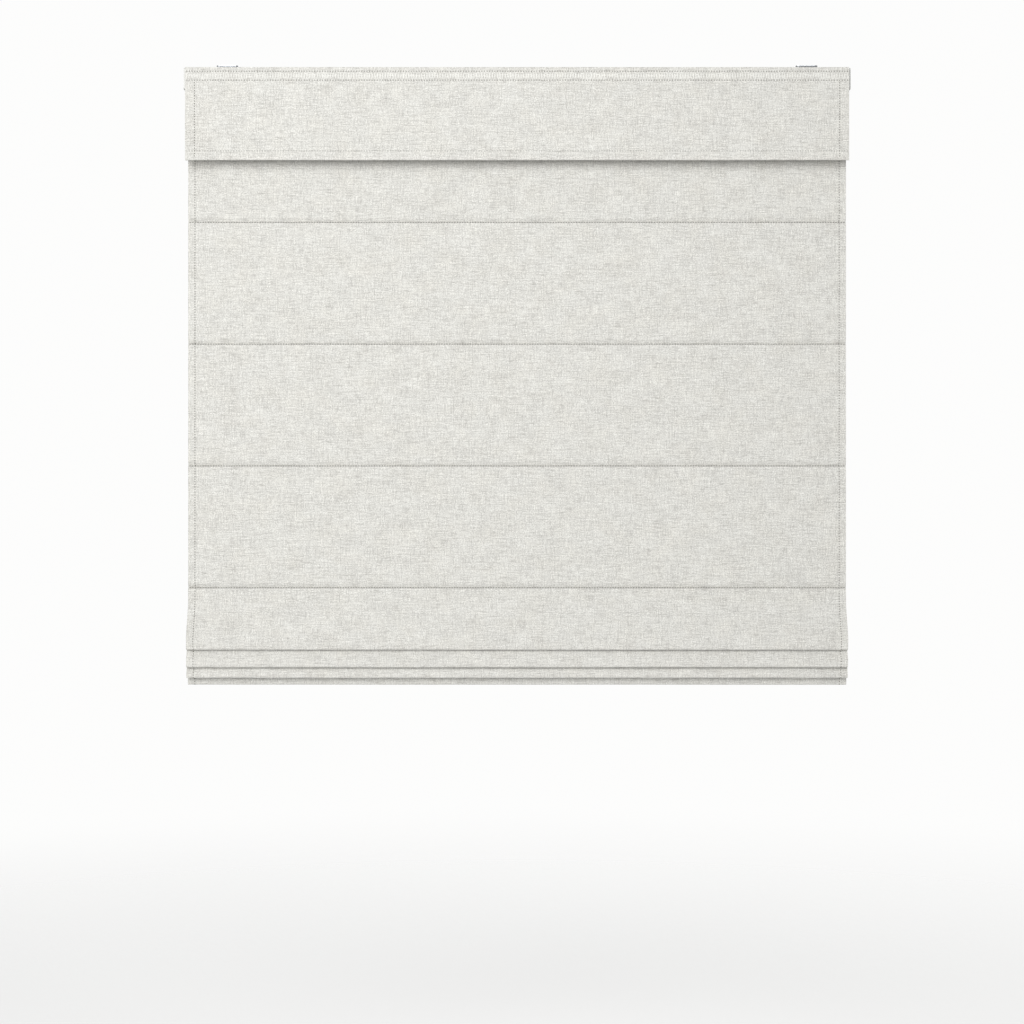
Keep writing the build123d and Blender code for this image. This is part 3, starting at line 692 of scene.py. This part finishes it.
def lift_cord(word, side):
    """Cord from its spool to its stop: turns on the spool, the part in the rail, and a run to each guide."""
    spool = WHEEL_X if side < 0 else 3 * WHEEL_X
    x = side * CORD_X
    y1 = guide(1)[0]
    turns = [(spool + SPOOL_RADIUS * sin(a), SPOOL_RADIUS * cos(a),
              CORD_Z + WOUND_HEIGHT * (0.5 - k / WOUND_STEPS))
             for k in range(WOUND_STEPS + 1)
             for a in [2 * pi * k / TURN_STEPS]]
    wound = tube(f"cord_turns_{word}", turns, CORD_RADIUS, 8)
    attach(wound, f"spool_{word}_body")
    axis_x = x - side * ROLLER_RADIUS
    inside = [(spool + (axis_x - spool) * k / 30, SPOOL_RADIUS + (y1 - SPOOL_RADIUS) * k / 30, CORD_Z)
              for k in range(31)]
    inside += [(axis_x + side * ROLLER_RADIUS * sin(a), y1, CORD_Z - ROLLER_RADIUS * (1 - cos(a)))
               for k in range(1, 9)
               for a in [pi / 2 * k / 8]]
    inside.append((x, y1, OUTLET_LOW))
    top = tube(f"cord_in_rail_{word}", inside, CORD_RADIUS)
    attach(top, body(0))
    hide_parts(f"lift_cord_{word}")
    for i in range(1, FOLDS + 1):
        start = (guide(i - 1) if i > 1 else (y1, OUTLET_LOW))
        end = guide(i)
        if i == FOLDS:
            end = (end[0], end[1] - CORD_TAIL)
        points = [(x, start[0] + (end[0] - start[0]) * k / 12, start[1] + (end[1] - start[1]) * k / 12)
                  for k in range(13)]
        run = tube(f"cord_run_{i}_{word}", points, CORD_RADIUS)
        if i <= OPEN_FOLDS:
            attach(run, body(i - 1))
            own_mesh(run)
        else:
            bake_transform(run)


STORE_INNER, STORE_OUTER, STORE_TURNS, STORE_STEPS = 7.4, 9.45, 5, 180
OUTPUT_OUTER, OUTPUT_INNER, OUTPUT_TURNS, OUTPUT_STEPS = 9.65, 9.35, 2, 72
STRIP_EDGES = (-24.8, -14.8)
STRIP_THICK = 0.2


def drive_spring():
    """Flat spring wound on the storage drum, crossing to the far side of the output drum."""
    store, output = -3 * WHEEL_X, -WHEEL_X
    lean = radians(34.2)  # of the strip where it crosses from drum to drum
    points = []
    for k in range(STORE_STEPS + 1):
        share = k / STORE_STEPS
        turn = pi / 2 - lean + 2 * pi * STORE_TURNS * (1 - share)
        points.append(store + (STORE_INNER + (STORE_OUTER - STORE_INNER) * share) * exp(1j * turn))
    for k in range(OUTPUT_STEPS + 1):
        share = k / OUTPUT_STEPS
        turn = 3 * pi / 2 - lean + 2 * pi * OUTPUT_TURNS * share
        points.append(output + (OUTPUT_OUTER + (OUTPUT_INNER - OUTPUT_OUTER) * share) * exp(1j * turn))
    rows, gone = [], 0.0
    for k, point in enumerate(points):
        gone += abs(point - points[k - 1]) if k else 0.0
        heading = points[min(k + 1, len(points) - 1)] - points[max(k - 1, 0)]
        rows.append((point, heading / abs(heading), gone))
    bm = hang(rows, even(*STRIP_EDGES, 5.0), STRIP_THICK, axes=(2, 0, 1))
    obj = piece("spring_strip", bm, [SPRING, SPRING])
    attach(obj, body(0))
    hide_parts("drive_spring")


shade()
valance()
for i in range(1, FOLDS + 1):
    pocket(i)
tape("hook_tape_woven", "hook_tape", -22.5)
tape("loop_tape_woven", "loop_tape", -23.5)
lift_cord("left", -1)
lift_cord("right", 1)
drive_spring()


# ---- Studio, in metres ----
SKY_LIGHT, SKY_SEEN = 0.45, 0.98  # brightness of the surroundings: on the object, and as a background
FLOOR_Z, FLOOR_HALF, FLOOR_FADE = -1.5, 14, (0.3, 3.2)
SHADE_MIDDLE = (0, 0, -0.45)
EYE = (-0.007, -2.727, -0.6164)


def studio():
    """Pale floor that fades into a white surround, a soft key from the front and a soft light behind."""
    scene = bpy.context.scene
    bm = bmesh.new()
    bmesh.ops.create_grid(bm, x_segments=8, y_segments=8, size=FLOOR_HALF)
    bmesh.ops.translate(bm, vec=(0, 4, FLOOR_Z), verts=bm.verts)
    mesh = bpy.data.meshes.new("floor")
    bm.to_mesh(mesh)
    bm.free()
    floor = bpy.data.objects.new("floor", mesh)
    scene.collection.objects.link(floor)
    mat, tree, shader = new_material("pale_floor")
    shader.inputs["Roughness"].default_value = 0.9
    shader.inputs["Base Color"].default_value = (0.95, 0.95, 0.945, 1)
    across = node(tree, "ShaderNodeVectorMath", {1: (1, 1, 0)},
                  {0: node(tree, "ShaderNodeTexCoord").outputs["Object"]}, operation="MULTIPLY")
    reach = node(tree, "ShaderNodeVectorMath", links={0: across.outputs[0]}, operation="LENGTH")
    fade = node(tree, "ShaderNodeMapRange",
                {"From Min": FLOOR_FADE[0], "From Max": FLOOR_FADE[1], "To Min": 1.0, "To Max": 0.0},
                {"Value": reach.outputs["Value"]}, interpolation_type="SMOOTHSTEP")
    tree.links.new(fade.outputs["Result"], shader.inputs["Alpha"])
    mesh.materials.append(mat)

    world = bpy.data.worlds.new("studio")
    scene.world = world
    world.use_nodes = True
    sky = world.node_tree.nodes["Background"]
    sky.inputs["Color"].default_value = (1.0, 1.0, 0.995, 1)
    rays = node(world.node_tree, "ShaderNodeLightPath").outputs["Is Camera Ray"]
    levels = {"To Min": SKY_LIGHT, "To Max": SKY_SEEN}
    strength = node(world.node_tree, "ShaderNodeMapRange", levels, {"Value": rays})
    world.node_tree.links.new(strength.outputs["Result"], sky.inputs["Strength"])

    for name, place, size, energy in (
        ("key", (-0.6, -2.5, 0.35), 2.4, 71),
        ("back", (0.6, 2.6, 1.2), 2.4, 45),
    ):
        lamp = bpy.data.lights.new(name, "AREA")
        lamp.shape = "DISK"
        lamp.size = size
        lamp.energy = energy
        holder = bpy.data.objects.new(name, lamp)
        holder.location = place
        aim = Vector(SHADE_MIDDLE) - Vector(place)
        holder.rotation_euler = aim.to_track_quat("-Z", "Y").to_euler()
        scene.collection.objects.link(holder)

    camera = bpy.data.cameras.new("camera")
    camera.lens = 68.96
    camera.sensor_width = 36
    camera.clip_end = 60
    viewer = bpy.data.objects.new("camera", camera)
    viewer.location = EYE
    viewer.rotation_euler = (radians(90), 0, 0)
    scene.collection.objects.link(viewer)
    scene.camera = viewer
    scene.view_settings.view_transform = "Standard"


studio()
